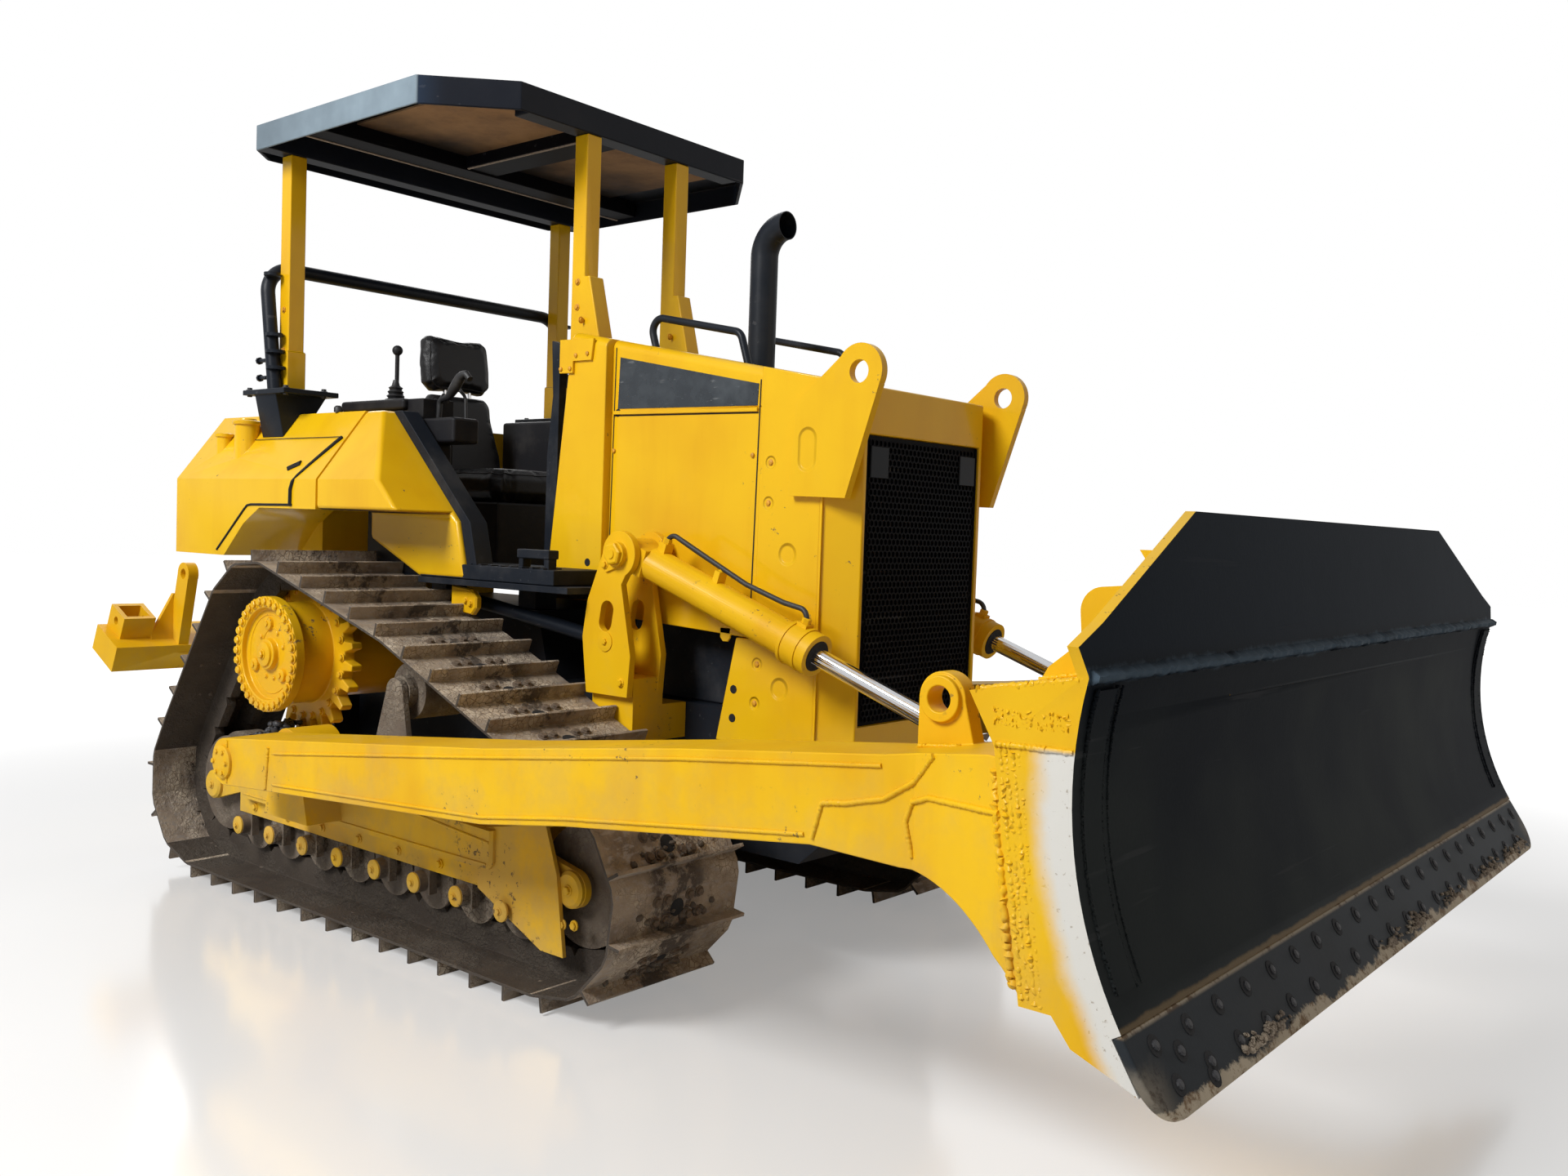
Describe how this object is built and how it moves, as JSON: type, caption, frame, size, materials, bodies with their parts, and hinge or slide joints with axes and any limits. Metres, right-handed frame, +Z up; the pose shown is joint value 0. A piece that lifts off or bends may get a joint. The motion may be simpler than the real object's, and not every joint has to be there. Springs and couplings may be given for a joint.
{
  "type": "bulldozer",
  "caption": "Crawler dozer with high-mounted drive sprockets, straight blade on push arms, open operator station under a post canopy, and a rear ripper beam.",
  "frame": {"origin": "on the ground, midway between the blade's cutting edge and the rear of the ripper beam, on the machine's middle plane", "axes": "+X forward to the blade, +Y to the machine's left, +Z up"},
  "size_m": [5.71, 3.284, 3.187],
  "materials": {
    "yellow_paint": "satin",
    "black_paint": "satin",
    "track_steel": "worn",
    "dark_steel": "matte",
    "rod_chrome": "polished",
    "hose_rubber": "satin",
    "seat_vinyl": "satin",
    "panel_plastic": "matte"
  },
  "bodies": {
    "tractor": {"main_frame": "dark_steel", "roller_frame_right": "yellow_paint", "roller_frame_left": "yellow_paint", "track_right": "track_steel", "track_left": "track_steel", "track_rollers_right": "yellow_paint", "track_rollers_left": "yellow_paint", "final_drive_right": "yellow_paint", "final_drive_left": "yellow_paint", "engine": "dark_steel", "bonnet": "yellow_paint", "engine_side_panels": "yellow_paint", "radiator_guard": "yellow_paint", "grille": "black_paint", "lifting_ears": "yellow_paint", "exhaust_stack": "black_paint", "bonnet_handrails": "black_paint", "cowl": "yellow_paint", "instrument_panel": "panel_plastic", "operator_deck": "black_paint", "seat_base": "panel_plastic", "seat_cushion": "seat_vinyl", "seat_back": "seat_vinyl", "control_consoles": "panel_plastic", "fuel_tank": "yellow_paint", "fender_right": "yellow_paint", "fender_left": "yellow_paint", "canopy_roof": "black_paint", "canopy_posts": "yellow_paint", "rear_post_mounts": "black_paint", "guard_arch": "black_paint", "cylinder_towers": "yellow_paint"},
    "blade_assembly": {"blade": "yellow_paint", "cutting_edge": "black_paint", "push_arm_right": "yellow_paint", "push_arm_left": "yellow_paint"},
    "lift_barrel_right": {"lift_barrel_right": "yellow_paint", "lift_hose_right": "hose_rubber"},
    "lift_barrel_left": {"lift_barrel_left": "yellow_paint", "lift_hose_left": "hose_rubber"},
    "lift_rod_right": {"lift_rod_right": "rod_chrome"},
    "lift_rod_left": {"lift_rod_left": "rod_chrome"},
    "ripper": {"ripper_beam": "yellow_paint"},
    "ripper_barrel": {"ripper_barrel": "yellow_paint"},
    "ripper_rod": {"ripper_rod": "rod_chrome"}
  },
  "joints": [
    {"name": "blade_lift", "type": "hinge", "parent": "tractor", "child": "blade_assembly", "pos_m": [-0.76, 0, 0.645], "axis": [0, -1, 0], "range_deg": [-15, 6.5]},
    {"name": "ripper_lift", "type": "hinge", "parent": "tractor", "child": "ripper", "pos_m": [-1.88, 0, 0.6], "axis": [0, 1, 0], "range_deg": [-30, 8]},
    {"name": "lift_barrel_right_pivot", "type": "hinge", "parent": "tractor", "child": "lift_barrel_right", "pos_m": [0.355, -0.542, 1.437], "axis": [0, -1, 0], "range_deg": [-20.2, 8.8]},
    {"name": "lift_rod_right_slide", "type": "slide", "parent": "lift_barrel_right", "child": "lift_rod_right", "axis": [0.943, 0, -0.3328], "range_m": [-0.137, 0.315]},
    {"name": "lift_barrel_left_pivot", "type": "hinge", "parent": "tractor", "child": "lift_barrel_left", "pos_m": [0.355, 0.542, 1.437], "axis": [0, -1, 0], "range_deg": [-20.2, 8.8]},
    {"name": "lift_rod_left_slide", "type": "slide", "parent": "lift_barrel_left", "child": "lift_rod_left", "axis": [0.943, 0, -0.3328], "range_m": [-0.137, 0.315]},
    {"name": "ripper_barrel_pivot", "type": "hinge", "parent": "tractor", "child": "ripper_barrel", "pos_m": [-1.79, 0, 1.12], "axis": [0, 1, 0], "range_deg": [-24.4, 6.6]},
    {"name": "ripper_rod_slide", "type": "slide", "parent": "ripper_barrel", "child": "ripper_rod", "axis": [-0.9989, 0, -0.0459], "range_m": [-0.069, 0.257]}
  ],
  "couplings": [
    {"joint": "lift_barrel_right_pivot", "follows": "blade_lift", "ratio": 1.3243},
    {"joint": "lift_rod_right_slide", "follows": "blade_lift", "m_per_rad": -1.197},
    {"joint": "lift_barrel_left_pivot", "follows": "blade_lift", "ratio": 1.3243},
    {"joint": "lift_rod_left_slide", "follows": "blade_lift", "m_per_rad": -1.197},
    {"joint": "ripper_barrel_pivot", "follows": "ripper_lift", "ratio": 0.80376},
    {"joint": "ripper_rod_slide", "follows": "ripper_lift", "m_per_rad": -0.48836}
  ]
}
